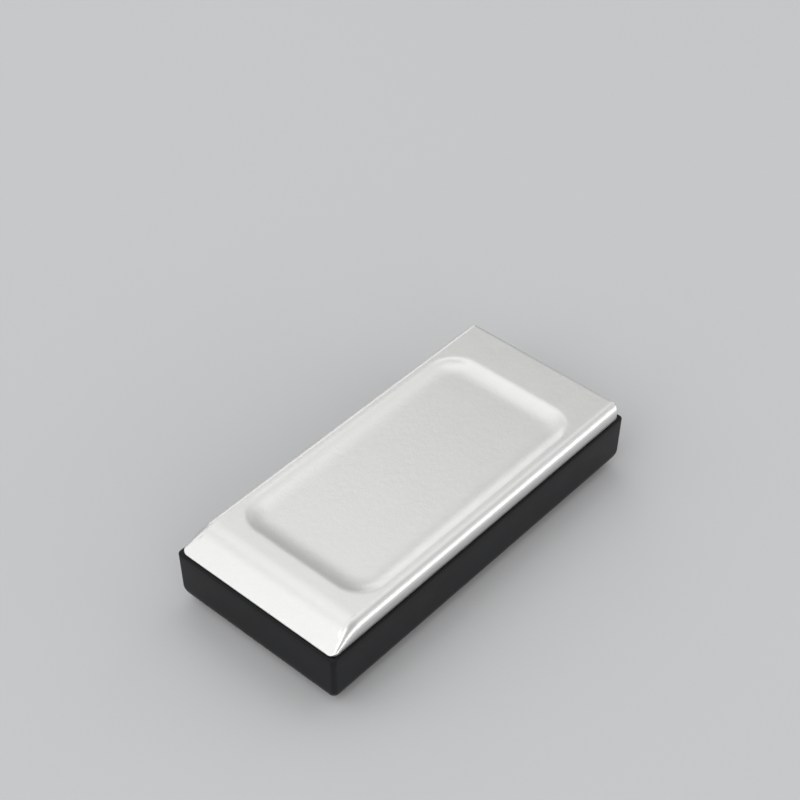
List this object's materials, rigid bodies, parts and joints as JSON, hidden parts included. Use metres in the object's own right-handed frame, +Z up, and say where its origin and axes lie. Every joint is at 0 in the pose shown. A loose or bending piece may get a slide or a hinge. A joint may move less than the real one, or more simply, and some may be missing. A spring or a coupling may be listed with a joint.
{
  "type": "portable solid state drive",
  "caption": "Slim pocket drive: dished bead-blasted metal cover with a sloping end on a black plastic case, with a USB-C port in the other end.",
  "frame": {"origin": "middle of the underside", "axes": "+X along the length towards the USB-C port, +Y across the width, +Z up through the cover"},
  "size_m": [0.0694, 0.0326, 0.0135],
  "materials": {
    "case_plastic": "satin moulded",
    "cover_aluminium": "fine bead blasted",
    "bonding_tape": "matte",
    "board_laminate": "solder mask",
    "port_steel": "drawn and plated",
    "port_plastic": "matte",
    "plate_steel": "stamped",
    "contact_gold": "gold flashed",
    "chip_black": "moulded",
    "memory_black": "moulded",
    "inductor_ferrite": "pressed ferrite",
    "tantalum_yellow": "moulded",
    "crystal_can": "plated lid",
    "capacitor_ceramic": "fired",
    "resistor_black": "glazed film",
    "lamp_white": "moulded lens",
    "guide_clear": "clear moulded",
    "pad_silicone": "soft",
    "insert_brass": "knurled",
    "screw_steel": "zinc plated"
  },
  "bodies": {
    "root": {"bottom_case": "case_plastic", "top_cover": "cover_aluminium", "seam_tape": "bonding_tape", "circuit_board": "board_laminate", "port_shell": "port_steel", "port_tongue": "port_plastic", "port_mid_plate": "plate_steel", "port_contacts": "contact_gold", "flash_controller": "chip_black", "flash_memory_1": "memory_black", "flash_memory_2": "memory_black", "flash_memory_3": "memory_black", "flash_memory_4": "memory_black", "power_converter": "chip_black", "power_inductor_1": "inductor_ferrite", "power_inductor_2": "inductor_ferrite", "tantalum_capacitors": "tantalum_yellow", "voltage_regulator": "chip_black", "clock_crystal": "crystal_can", "boot_memory": "chip_black", "surge_protectors": "chip_black", "ceramic_capacitors": "capacitor_ceramic", "chip_resistors": "resistor_black", "status_led": "lamp_white", "light_guide": "guide_clear", "thermal_pad": "pad_silicone", "screw_inserts": "insert_brass", "board_screws": "screw_steel"}
  },
  "joints": []
}
